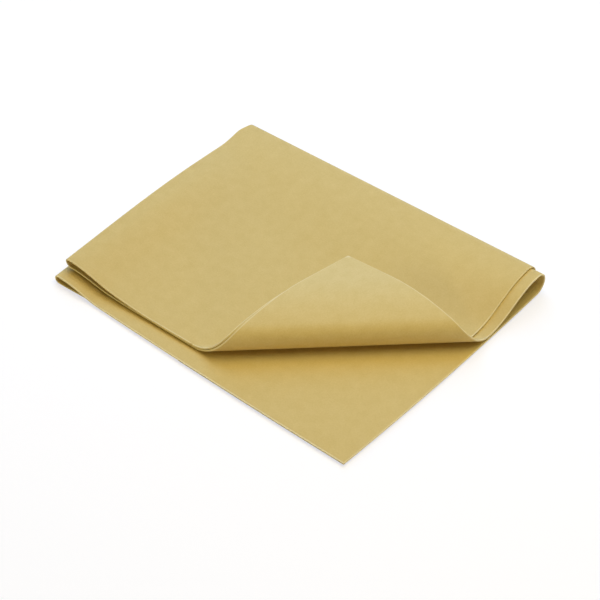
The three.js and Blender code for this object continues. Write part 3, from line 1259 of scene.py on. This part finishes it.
@dataclass
class PairPiece(ClothPiece):
    """A piece of the folded pair, with its third of the back fold.

    Attributes:
        name: the piece's name
        joint: bend line in the middle of its third of the back fold
        nodes: solids that it stands for
        bend_deg: turns at which its third starts and ends
        edge_highlight_fade: share by which the outer layer's painted edge highlight fades far behind the
            roll
        edge_highlight_fade_reach: how far behind the roll the painted edge highlight has faded by that
            share, in mm
    """

    name: str = ""
    joint: str = ""
    nodes: tuple[str, ...] = ()
    bend_deg: tuple[float, float] = (0.0, 180.0)
    # The outer layer's painted edge highlight fades by this share behind the roll
    edge_highlight_fade: float = 0.5
    edge_highlight_fade_reach: float = 50.0

    def bend_rows(self, start_deg: float, end_deg: float) -> list[Row]:
        """Rows round the back fold."""
        turns = spread(start_deg, end_deg, self.surface.spacing.bend_deg)
        return [Row(Zone.BEND, math.radians(turn)) for turn in turns]

    def add_pair_band(self, mesh: ClothMesh, rows: Sequence[Row], columns: Columns) -> tuple[Array, Array]:
        """Adds a band of the folded pair.

        Args:
            mesh: mesh to add to
            rows: rows of the band, with one spare row before and after it
            columns: columns of the pair

        Returns:
            numbers of the band's points, and the points
        """
        spared = slice(1, -1)
        points, places = stack_rows([self.surface.pair_row(row, columns) for row in rows])
        normals = grid_normals(points)
        points, places = points[spared], places[spared]
        column = columns.ring()[0]
        ends = columns.at_ends()
        edges = np.array([ends | self.at_front(row, columns.right[column]) for row in rows[spared]], float)
        # Painted edge highlight: on the outer layer it fades behind the roll
        edges *= np.where(columns.outer[column], self.edge_highlight_share(points), 1.0)
        return mesh.add_points(points, normals, places, edges, np.zeros(len(edges))), points

    def edge_highlight_share(self, points: Array) -> Array:
        """How much of the painted edge highlight the outer layer keeps; it fades more and more behind the
        roll.
        """
        behind = (np.array(self.surface.corner.middle) - points[..., :2]) @ self.surface.corner.across
        return 1 - self.edge_highlight_fade * ease(behind, 0.0, self.edge_highlight_fade_reach)

    @staticmethod
    def at_front(row: Row, right: Array) -> Array:
        """Whether points lie on the front edge; the top half's right block ends at the roll instead."""
        at_top = row.zone is Zone.TOP and row.place == 1.0
        return (row.zone is Zone.BOTTOM and row.place == 0.0) | (~right & at_top)

    def finish(self, mesh: ClothMesh, before: Array, after: Array) -> Piece:
        """Dresses the piece, and bakes its place into its mesh.

        Args:
            mesh: the piece's mesh
            before: points in mm where its third of the back fold starts
            after: points where it ends

        Returns:
            the piece
        """
        piece = self.dress(mesh, self.name, *self.nodes)
        middle = math.radians(sum(self.bend_deg) / 2)
        heading = np.array([0.0, math.cos(middle), math.sin(middle)])
        self.packed.bend(piece, self.joint, heading, before, after)
        return piece


@dataclass
class BottomHalf(PairPiece):
    """Bottom pair of layers, from the front edge to the first third of the back fold."""

    name: str = "bottom_cloth"
    joint: str = "back_fold_1"
    nodes: tuple[str, ...] = ("outer_bottom_panel", "inner_bottom_panel", "bottom_side_fold")
    bend_deg: tuple[float, float] = (0.0, 60.0)

    def build(self) -> Piece:
        """Builds and dresses the bottom half.

        Returns:
            the piece
        """
        columns, spacing, pair = self.surface.pair_columns(), self.surface.spacing, self.surface.pair
        length = pair.back_fold_y - pair.bottom_front.place
        start, end = self.bend_deg
        rims = [Row(Zone.BOTTOM, 0.0, turn) for turn in rim_turns(spacing.rim_steps)[::-1]]
        shares = np.insert(spread(0.0, 1.0, spacing.flat / length), 1, spacing.edge_band / length)
        flat = [Row(Zone.BOTTOM, share) for share in shares]
        bend = self.bend_rows(start, end)[1:]
        spare = self.bend_rows(end, end + spacing.bend_deg)[1:]
        mesh = self.new_mesh()
        numbers, points = self.add_pair_band(mesh, [*rims, *flat, *bend, *spare], columns)
        numbers[0] = np.minimum(numbers[0], numbers[0][columns.mirrored()])
        mesh.add_band(numbers, closed=True)
        mesh.add_ring_cap(numbers[-1], columns, last=True)
        return self.finish(mesh, points[-1 - len(bend)], points[-1])


@dataclass
class BackFold(PairPiece):
    """Middle third of the back fold."""

    name: str = "back_fold_cloth"
    joint: str = "back_fold_2"
    nodes: tuple[str, ...] = tuple(
        f"{part}_strip_{index}" for part in ("outer_back", "inner_back", "side_fold") for index in (1, 2)
    )
    bend_deg: tuple[float, float] = (60.0, 120.0)

    def build(self) -> Piece:
        """Builds and dresses the back fold.

        Returns:
            the piece
        """
        columns, step = self.surface.pair_columns(), self.surface.spacing.bend_deg
        start, end = self.bend_deg
        mesh = self.new_mesh()
        numbers, points = self.add_pair_band(mesh, self.bend_rows(start - step, end + step), columns)
        mesh.add_band(numbers, closed=True)
        mesh.add_ring_cap(numbers[0], columns, last=False)
        mesh.add_ring_cap(numbers[-1], columns, last=True)
        return self.finish(mesh, points[0], points[-1])


@dataclass
class TopHalf(PairPiece):
    """Top pair of layers, from the last third of the back fold to the front edge and to the roll."""

    name: str = "top_cloth"
    joint: str = "back_fold_3"
    nodes: tuple[str, ...] = ("outer_top_panel", "inner_top_panel", "top_side_fold")
    bend_deg: tuple[float, float] = (120.0, 180.0)

    def build(self) -> Piece:
        """Builds and dresses the top half.

        Returns:
            the piece
        """
        columns, spacing, pair = self.surface.pair_columns(), self.surface.spacing, self.surface.pair
        length = pair.back_fold_y - pair.inner.top_front.place
        start, end = self.bend_deg
        bend = self.bend_rows(start - spacing.bend_deg, end)
        shares = np.insert(spread(0.0, 1.0, spacing.flat / length)[1:], -1, 1.0 - spacing.edge_band / length)
        flat = [Row(Zone.TOP, share) for share in shares]
        rims = [Row(Zone.TOP, 1.0, turn) for turn in rim_turns(spacing.rim_steps)]
        mesh = self.new_mesh()
        numbers, points = self.add_pair_band(mesh, [*bend, *flat, *rims], columns)
        body = numbers[:len(numbers) - spacing.rim_steps]
        rim = numbers[len(body) - 1:]
        rim[-1] = np.minimum(rim[-1], rim[-1][columns.mirrored()])
        mesh.add_band(body, closed=True)
        mesh.add_ring_cap(body[0], columns, last=False)
        self.close_front(mesh, rim, columns)
        return self.finish(mesh, points[0], points[len(bend) - 2])

    def close_front(self, mesh: ClothMesh, rim: Array, columns: Columns) -> None:
        """Rounds the front edge up to the roll, and closes the layers along the roll.

        Args:
            mesh: mesh to add to
            rim: numbers of the points from the last row round the front edge
            columns: columns of the pair
        """
        upper, last_edge, lower, first_edge = columns.split(rim)
        first = len(self.surface.corner_shares()) - 1
        last = columns.count - 1 - first
        mesh.add_band(upper[:, first:last + 1], closed=False)
        mesh.add_band(lower[:, first:last + 1][:, ::-1], closed=False)
        for block in (slice(first + 1), slice(last, None)):
            mesh.add_strip_caps(upper[0, block][::-1], lower[0, block][::-1])
        mesh.add_cap([upper[0, 0], *first_edge[0, ::-1], lower[0, 0]])
        mesh.add_cap([lower[0, -1], *last_edge[0, ::-1], upper[0, -1]])
        mesh.add_cap([*lower[:, first], *upper[:-1, first][::-1]])
        mesh.add_cap([*upper[:, last], *lower[:-1, last][::-1]])


@dataclass
class CornerPiece(ClothPiece):
    """A piece of the turned corner, with both of its layers."""

    def add_layer(self, mesh: ClothMesh, layer: Layer, distances: Sequence[float], tip: bool) -> Array:
        """Adds one layer of the corner.

        Args:
            mesh: mesh to add to
            layer: layer of the pair
            distances: ways along the roll's convex face, with a spare one before the first, and a spare
                one after the last unless the layer ends in its tip
            tip: whether the layer ends in its tip

        Returns:
            points of the layer, rows by ring points by 3
        """
        columns = self.surface.corner_columns()
        outer = layer is Layer.OUTER
        steps = [(distance, 0.0) for distance in distances]
        if tip:
            steps += [(distances[-1], turn) for turn in rim_turns(self.surface.spacing.rim_steps)]
        made = [self.surface.corner_row(layer, columns, distance, rim) for distance, rim in steps]
        points, places = stack_rows(made)
        ways = np.array([distance for distance, _ in steps[1:-1]])
        at_tip = (ways == distances[-1]) & tip
        edges = (columns.at_ends() | at_tip[:, None]).astype(float)
        normals = grid_normals(points) * (-1.0 if outer else 1.0)
        # Painted light on the turned corner: none at the roll's start, which is in shade, and full from the
        # flap on
        lies = ease(ways, 0.0, self.surface.corner.roll_length)
        numbers = mesh.add_points(points[1:-1], normals, places[1:-1], edges, lies)
        if tip:
            numbers[-1] = np.minimum(numbers[-1], numbers[-1][columns.mirrored()])
        mesh.add_band(numbers[:, ::-1] if outer else numbers, closed=True)
        mesh.add_ring_cap(numbers[0], columns, last=outer)
        if not tip:
            mesh.add_ring_cap(numbers[-1], columns, last=not outer)
        return points[1:-1]

    def roll_heading(self, distance: float) -> Array:
        """Direction of the cloth across the roll, at a way along its convex face."""
        turn = self.surface.corner.profile(distance, self.surface.corner.flap_turn())[2]
        return np.array([*(self.surface.corner.across * math.cos(turn)), math.sin(turn)])


@dataclass
class CornerRoll(CornerPiece):
    """One of the equal parts of the roll, counted from 1."""

    index: int = 1
    parts: int = 3

    def build(self) -> Piece:
        """Builds and dresses one part of the roll.

        Returns:
            the piece
        """
        step = self.surface.spacing.roll
        part = self.surface.corner.roll_length / self.parts
        start = part * (self.index - 1)
        distances = [start - step, *spread(start, start + part, step), start + part + step]
        mesh = self.new_mesh()
        layers = [self.add_layer(mesh, layer, distances, tip=False) for layer in Layer]
        zone = "corner_root" if self.index == 1 else f"corner_strip_{self.index - 1}"
        piece = self.dress(mesh, f"corner_roll_{self.index}_cloth", f"outer_{zone}", f"inner_{zone}")
        before, after = (np.concatenate([points[row] for points in layers]) for row in (0, -1))
        heading = self.roll_heading(start + part / 2)
        self.packed.bend(piece, f"corner_roll_{self.index}", heading, before, after)
        return piece


@dataclass
class CornerFlap(CornerPiece):
    """Flap of the turned corner, from the end of the roll to its tip."""

    name: str = "corner_flap_cloth"

    def build(self) -> Piece:
        """Builds and dresses the flap.

        Returns:
            the piece
        """
        corner, step = self.surface.corner, self.surface.spacing.flat
        start = corner.roll_length
        bend_end = start + corner.bend_length
        bend = spread(start, bend_end, step / 2)
        rims = corner.left_rim + corner.right_rim
        mesh = self.new_mesh()
        layers = []
        for layer in Layer:
            tip = corner.flat_tip(layer, corner.inset_tip_width + rims)
            straight = spread(bend_end, corner.way_to(layer, tip, corner.flap_turn()), step)[1:]
            layers.append(self.add_layer(mesh, layer, [start - step / 2, *bend, *straight], tip=True))
        nodes = [f"{layer.value}_corner_{part}" for layer in Layer for part in ("strip_3", "flap")]
        piece = self.dress(mesh, self.name, *nodes)
        before, after = (np.concatenate([points[row] for points in layers]) for row in (0, len(bend) - 1))
        heading = self.roll_heading(start + corner.bend_length / 2)
        self.packed.bend(piece, "corner_flap_bend", heading, before, after)
        return piece


@dataclass(frozen=True)
class Stand:
    """A place round the cloth.

    Attributes:
        azimuth_deg: its side; 0 is in front, and 90 on the right
        elevation_deg: how high it is
        distance: its distance in metres
    """

    azimuth_deg: float
    elevation_deg: float
    distance: float = 1.6

    def put(self, name: str, data: bpy.types.ID, target: Vector) -> bpy.types.Object:
        """Puts a lamp or a camera here.

        Args:
            name: its name
            data: the lamp or the camera
            target: point that it is turned to

        Returns:
            the object
        """
        azimuth, elevation = math.radians(self.azimuth_deg), math.radians(self.elevation_deg)
        level = math.cos(elevation)
        back = Vector((math.sin(azimuth) * level, -math.cos(azimuth) * level, math.sin(elevation)))
        made = bpy.data.objects.new(name, data)
        made.location = target + back * self.distance
        made.rotation_euler = (-back).to_track_quat("-Z", "Y").to_euler()
        bpy.context.scene.collection.objects.link(made)
        return made


@dataclass(frozen=True)
class SoftLamp:
    """A round lamp that shines on the middle of the cloth.

    Attributes:
        name: its name
        stand: where it stands
        power: its power in watts
        colour: its tint
        size: its width in metres
    """

    name: str
    stand: Stand
    power: float
    colour: Colour
    size: float = 1.4

    def build(self, target: Vector) -> None:
        """Makes the lamp.

        Args:
            target: point that it is turned to
        """
        data = bpy.data.lights.new(self.name, "AREA")
        data.shape = "DISK"
        data.size = self.size
        data.energy = self.power
        data.color = self.colour
        self.stand.put(self.name, data, target)


@dataclass(frozen=True)
class Studio:
    """Camera, plain floor and soft light.

    Cool daylight comes from the back left and warm light from above, and two low lamps light the upright
    faces. Distances are in metres. floor_seen is the part of the floor's white that takes the shadow. It
    fades out over shadow_reach, and the rest of the white glows.
    """

    lens_mm: float = 114.0
    viewpoint: Stand = Stand(39.84, 44.05, 1.34)
    target_mm: tuple[float, float, float] = (13.22, -12.28, 0.0)
    floor_size: float = 12.0
    floor_white: Colour = (0.8, 0.8, 0.8)
    floor_seen: Colour = (0.42, 0.4, 0.32)
    floor_level: float = 1.03
    shadow_reach: tuple[float, float] = (0.3, 0.8)
    world_strength: float = 0.13
    world_colour: Colour = (1.0, 0.68, 0.27)
    lamps: tuple[SoftLamp, ...] = (
        SoftLamp("daylight", Stand(225.0, 45.0), 24.5, (0.21, 0.44, 1.0)),
        SoftLamp("ceiling", Stand(130.0, 68.0), 12.9, (1.0, 0.98, 0.68)),
        SoftLamp("window", Stand(315.0, 13.0), 5.0, (1.0, 0.96, 0.4), 0.6),
        SoftLamp("overhead", Stand(220.0, 76.0), 8.4, (1.0, 0.69, 0.28)),
        SoftLamp("doorway", Stand(50.0, 6.0), 4.4, (1.0, 0.8, 0.46), 0.3),
    )

    def build(self, shift: Array) -> None:
        """Makes the camera, the light and the floor.

        Args:
            shift: place of the cloth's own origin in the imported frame
        """
        target = Vector(np.array(self.target_mm) * MM + shift)
        camera = bpy.data.cameras.new("camera")
        camera.lens = self.lens_mm
        bpy.context.scene.camera = self.viewpoint.put("camera", camera, target)
        for lamp in self.lamps:
            lamp.build(target)
        self.make_world()
        self.make_floor()
        bpy.context.scene.view_settings.view_transform = "Standard"

    def make_world(self) -> None:
        """Lights the scene evenly, with a white backdrop for the camera."""
        world = bpy.data.worlds.new("studio")
        world.use_nodes = True
        tree = world.node_tree
        tint = tuple(self.world_strength * value for value in self.world_colour)
        colour = mixed_colour(tree, self.seen_directly(tree), tint, WHITE)
        fill(tree, tree.nodes["Background"], {"Color": colour, "Strength": 1.0})
        bpy.context.scene.world = world

    @staticmethod
    def seen_directly(tree: Tree) -> Socket:
        """Tells what is seen from what lights the object.

        Args:
            tree: nodes of the world or of a material

        Returns:
            1 for rays from the camera, from gloss and through glass, and 0 for light on the object
        """
        path = add_node(tree, "ShaderNodeLightPath", {})
        total = path.outputs["Is Camera Ray"]
        for kind in ("Is Glossy Ray", "Is Transmission Ray"):
            rays = {0: total, 1: path.outputs[kind]}
            total = add_node(tree, "ShaderNodeMath", rays, operation="MAXIMUM").outputs[0]
        return total

    def near_cloth(self, tree: Tree) -> Socket:
        """Tells the floor round the cloth, where its shadow shows, from the rest.

        Args:
            tree: the floor's nodes

        Returns:
            1 near the cloth and 0 farther out
        """
        place = add_node(tree, "ShaderNodeTexCoord", {}).outputs["Object"]
        distance = add_node(tree, "ShaderNodeVectorMath", {0: place}, operation="LENGTH").outputs["Value"]
        low, high = self.shadow_reach
        inputs = {"Value": distance, "From Min": low, "From Max": high, "To Min": 1.0, "To Max": 0.0}
        return add_node(tree, "ShaderNodeMapRange", inputs, interpolation_type="SMOOTHSTEP").outputs[0]

    def make_floor(self) -> None:
        """Makes the white floor, which keeps the shadow close to the cloth."""
        bpy.ops.mesh.primitive_plane_add(size=self.floor_size)
        floor = bpy.context.object
        floor.name = "floor"
        material = bpy.data.materials.new("floor_white")
        material.use_nodes = True
        tree = material.node_tree
        tree.nodes.remove(tree.nodes["Principled BSDF"])
        seen, near = self.seen_directly(tree), self.near_cloth(tree)
        shaded = mixed_colour(tree, near, BLACK, self.floor_seen)
        colour = mixed_colour(tree, seen, self.floor_white, shaded)
        matte = add_node(tree, "ShaderNodeBsdfDiffuse", {"Color": colour})
        white = (self.floor_level,) * 3
        rest = tuple(self.floor_level - value for value in self.floor_seen)
        lit = {"Color": mixed_colour(tree, near, white, rest), "Strength": seen}
        glow = add_node(tree, "ShaderNodeEmission", lit)
        both = add_node(tree, "ShaderNodeAddShader", {0: matte.outputs[0], 1: glow.outputs[0]})
        fill(tree, tree.nodes["Material Output"], {"Surface": both.outputs[0]})
        material.cycles.emission_sampling = "NONE"
        floor.data.materials.append(material)


@dataclass
class CleaningCloth:
    """The whole cloth, in the pieces between its bend lines.

    Attributes:
        flat_width: width of the unfolded cloth, in metres
        flat_length: length of the unfolded cloth
    """

    flat_width: float = 0.54
    flat_length: float = 0.44

    def build(self, surface: ClothSurface, packed: PackedFrame) -> None:
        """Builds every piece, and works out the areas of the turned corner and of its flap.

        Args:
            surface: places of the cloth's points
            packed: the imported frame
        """
        made = (surface, packed, ClothFinish().material())
        bottom, back, top = (kind(*made).build() for kind in (BottomHalf, BackFold, TopHalf))
        rolls = [CornerRoll(*made, index=index + 1).build() for index in range(CornerRoll.parts)]
        flap = CornerFlap(*made).build()
        corner_area = self.area_beyond(surface.corner, 0.0)
        flap_area = self.area_beyond(surface.corner, surface.corner.roll_length)

    @staticmethod
    def area_beyond(corner: TurnedCorner, flat_distance: float) -> float:
        """Area of the corner's two layers beyond a line along the roll, in square metres."""
        tips = [(layer, corner.flat_tip(layer, 0.0) - flat_distance) for layer in Layer]
        return sum(corner.width(layer, flat_distance) * tip / 2 for layer, tip in tips) * MM**2


def main() -> None:
    """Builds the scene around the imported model."""
    logging.basicConfig(level=logging.INFO, format="%(name)s: %(message)s")
    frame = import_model()
    bpy.ops.object.select_all(action="DESELECT")
    pair = FoldedPair()
    surface = ClothSurface(pair, TurnedCorner(pair), Spacing())
    packed = PackedFrame.read(frame, pair)
    Studio().build(packed.cloth_shift)
    CleaningCloth().build(surface, packed)
    bpy.context.view_layer.update()


if __name__ == "__main__":
    main()
